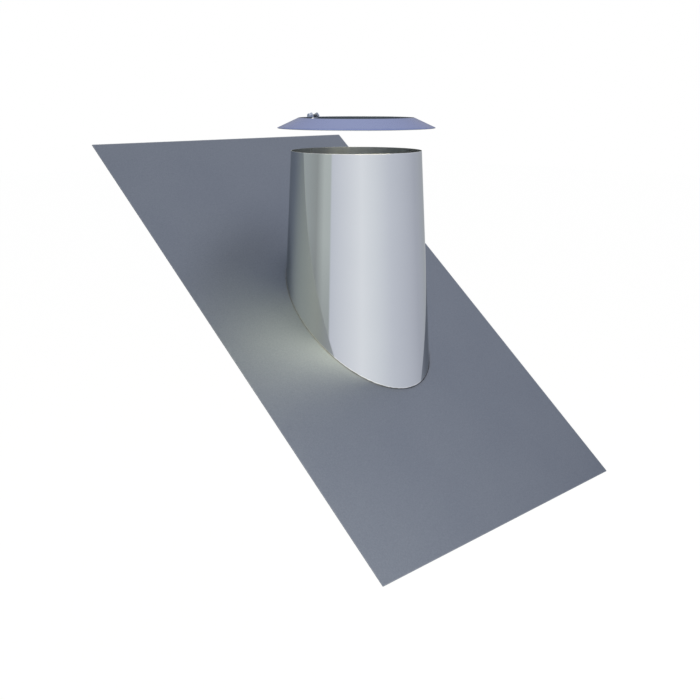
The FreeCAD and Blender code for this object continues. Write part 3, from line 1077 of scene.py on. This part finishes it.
# %% [markdown]
# ## The studio
# Bright metal shows its surroundings more than itself, so the studio is designed as a set of reflections.
# A white room is all round. The floor is far below, so that the part hangs free of it and only a soft
# shadow is left. To the camera the floor is nearly plain white, like the room, and the rest of it is
# paint that takes the shadow.

# %% White room and floor
FLOOR_HEIGHT = -1.4
FLOOR_SIZE = 40
FLOOR_GLOW = 0.92  # share of plain white in the floor, the rest takes light and shadow
FLOOR_TONE = (0.95, 0.95, 0.95, 1)


def new_paint(name):
    """Start a material of the studio with its shader still missing, and give its tree and its output."""
    material = bpy.data.materials.new(name)
    material.use_nodes = True
    tree = material.node_tree
    tree.nodes.remove(tree.nodes["Principled BSDF"])
    return material, tree, tree.nodes["Material Output"].inputs["Surface"]


def plain_view(tree):
    """A mask that is 1 for what the camera sees, directly or mirrored, and 0 for light from the floor."""
    rays = add_node(tree, "LightPath").outputs
    mirrored = math_node(tree, "MAXIMUM", rays["Is Glossy Ray"], rays["Is Transmission Ray"])
    return math_node(tree, "MAXIMUM", rays["Is Camera Ray"], mirrored)


world = bpy.data.worlds.new("white_room")
world.use_nodes = True
bpy.context.scene.world = world
room = world.node_tree.nodes["Background"]
room.inputs["Color"].default_value = (1, 1, 1, 1)
room.inputs["Strength"].default_value = 1

floor_paint, tree, surface = new_paint("pale_floor")
glow = add_node(tree, "Emission", {"Color": (1, 1, 1, 1), "Strength": 1})
paint = add_node(tree, "BsdfDiffuse", {"Color": FLOOR_TONE})
share = math_node(tree, "MULTIPLY", plain_view(tree), FLOOR_GLOW)
blend = add_node(tree, "MixShader", {0: share, 1: paint.outputs[0], 2: glow.outputs[0]})
tree.links.new(blend.outputs[0], surface)

floor = begin("floor", bpy.ops.mesh.primitive_plane_add, size=FLOOR_SIZE, location=(0, 0, FLOOR_HEIGHT))
bpy.ops.object.mode_set(mode="OBJECT")
floor.data.materials.append(floor_paint)
print("floor at", FLOOR_HEIGHT, "m")

# %% [markdown]
# A low screen stands round the part, out of the camera's sight. It is what the cone mirrors: one broad
# bright panel with a crisp left end, and dim grey beyond it, which fades towards the floor. It could be
# built of cards, but an open cylinder whose tones change with the angle is quicker to adjust. The alpha
# of a tone is 1 on the bright side and 0 on the dim one, where the screen fades.

# %% Screen round the part
SCREEN_RADIUS = 2.6
SCREEN_LOW = -1.0
SCREEN_HIGH = 0.9
SCREEN_POINTS = 128
PANEL_FIRST = -177.5  # degrees, the crisp left end of the bright panel
PANEL_LAST = 90  # degrees, its other end
FADE_FROM = 0.03  # height where the dim side begins to fade, and where it is at its darkest
FADE_TO = -0.35
FADE_TONE = (0.76, 0.76, 0.77, 1)
# Tones round the screen, by the angle from +X towards +Y in degrees
SCREEN_TONES = [
    (-180, (0.57, 0.60, 0.56)),
    (-178, (0.57, 0.60, 0.56)),
    (-177, (0.72, 0.73, 0.77)),
    (-127, (0.97, 0.97, 0.97)),
    (-105, (0.87, 0.88, 0.89)),
    (-78, (0.72, 0.73, 0.77)),
    (-20, (0.53, 0.54, 0.59)),
    (60, (0.60, 0.61, 0.64)),
    (110, (0.45, 0.48, 0.46)),
    (135, (0.42, 0.45, 0.43)),
    (156, (0.37, 0.39, 0.37)),
    (170, (0.57, 0.60, 0.56)),
]

screen_cloth, tree, surface = new_paint("studio_screen")
place = add_node(tree, "TexCoord").outputs["Object"]
turn = add_node(tree, "TexGradient", {0: place}, gradient_type="RADIAL")
tones = add_node(tree, "ValToRGB", {"Fac": turn.outputs["Fac"]})
stops = []
for angle, tone in SCREEN_TONES:
    bright = 1 if PANEL_FIRST < angle < PANEL_LAST else 0
    stops.append((angle / 360 + 0.5, (*tone, bright)))
fill_ramp(tones, stops)
low = add_node(
    tree, "MapRange", {"Value": axis_of(tree, place, 2), "From Min": FADE_FROM, "From Max": FADE_TO}
)
dim_side = math_node(tree, "SUBTRACT", 1, tones.outputs["Alpha"])
fade = math_node(tree, "MULTIPLY", dim_side, low.outputs["Result"])
tone = mix_colours(tree, fade, tones.outputs["Color"], FADE_TONE, "MULTIPLY")
light = add_node(tree, "Emission", {"Color": tone, "Strength": 1})
tree.links.new(light.outputs[0], surface)

screen = begin(
    "studio_screen", bpy.ops.mesh.primitive_cylinder_add, vertices=SCREEN_POINTS, radius=SCREEN_RADIUS,
    depth=SCREEN_HIGH - SCREEN_LOW, location=(0, 0, (SCREEN_LOW + SCREEN_HIGH) / 2),
    end_fill_type="NOTHING",
)
bpy.ops.object.mode_set(mode="OBJECT")
screen.data.materials.append(screen_cloth)
screen.visible_camera = False
screen.visible_diffuse = False
screen.visible_shadow = False
print("screen of", len(SCREEN_TONES), "tones")

# %% [markdown]
# Two large, warm soft lamps, in front and on the left, make the glow that the cone throws back on the
# plate. The front one is strong. From above it would burn out on the collar and bleach the plate, and a
# photographer holds up a flag against that. Light linking does the same here: the front lamp leaves out
# the collar and the plate, and two weaker lamps light only the plate.

# %% Soft lamps
LAMP_DISTANCE = 2.1
LAMP_AIM = Vector((0, 0, 0.05))
# Each lamp's turn from +X towards +Y, its rise, and half the angle that it fills, seen from the cone, in
# degrees, how bright its face is, where the white room is 1, and the pieces that it leaves out or lights
SOFT_LAMPS = {
    "front_lamp": (258, 40, 28, (4.95, 4.4, 2.6), "EXCLUDE", ["collar_ring", "base_plate"]),
    "left_lamp": (200, 46, 33, (1.26, 1.15, 0.50), "EXCLUDE", []),
    "plate_lamp": (246, 30, 30, (1.9, 1.68, 0.94), "INCLUDE", ["base_plate"]),
    "right_lamp": (285, 40, 30, (0.8, 0.75, 0.64), "INCLUDE", ["base_plate"]),
}


def link_light(lamp, state, names):
    """Let a lamp leave out the pieces with these names, or light only them."""
    linked = bpy.data.collections.new(lamp.name + "_pieces")
    for name in names:
        linked.objects.link(pieces[name])
    for item in linked.collection_objects:
        item.light_linking.link_state = state
    lamp.light_linking.receiver_collection = linked


for name, (turn, rise, spread_angle, glow, state, names) in SOFT_LAMPS.items():
    level = math.cos(math.radians(rise))
    aside = Vector((math.cos(math.radians(turn)), math.sin(math.radians(turn)), 0))
    direction = aside * level + Vector((0, 0, math.sin(math.radians(rise))))
    lamp_radius = LAMP_DISTANCE * math.tan(math.radians(spread_angle))
    bpy.ops.object.select_all(action="DESELECT")
    bpy.ops.object.light_add(type="AREA", location=LAMP_AIM + direction * LAMP_DISTANCE)
    lamp = bpy.context.object
    lamp.name = name
    lamp.rotation_euler = direction.to_track_quat("Z", "Y").to_euler()
    lamp.data.shape = "DISK"
    lamp.data.size = 2 * lamp_radius
    lamp_area = math.pi * lamp_radius**2
    lamp.data.energy = max(glow) * math.pi * lamp_area  # a soft face gives pi times its brightness
    lamp.data.color = [part / max(glow) for part in glow]
    lamp.visible_camera = False
    if names:
        link_light(lamp, state, names)
    print(f"{name}: {lamp.data.energy:.0f} W,", state.lower(), ", ".join(names) or "nothing")

# %% [markdown]
# ## The camera
# The camera looks over the lower left corner of the plate, a little from above, with a slightly long lens.
# Its place was found by fitting a pin-hole camera to the corners of the plate and the outlines of the cone
# and the collar. The picture is square, so the sensor's width counts for both sides.

# %% Place the camera
CAMERA_PLACE = (-1.19782, -1.16534, 0.37490)
CAMERA_DOWN = 14.8659  # degrees under level
CAMERA_TURN = -45.4168  # degrees from looking along +Y
CAMERA_LENS = 49.67  # mm
CAMERA_SENSOR = 36  # mm

bpy.ops.object.camera_add(
    location=CAMERA_PLACE, rotation=(math.radians(90 - CAMERA_DOWN), 0, math.radians(CAMERA_TURN))
)
camera = bpy.context.object
camera.data.sensor_width = CAMERA_SENSOR
camera.data.lens = CAMERA_LENS
bpy.context.scene.camera = camera
bpy.context.scene.view_settings.view_transform = "Standard"
print("camera lens", CAMERA_LENS, "mm")
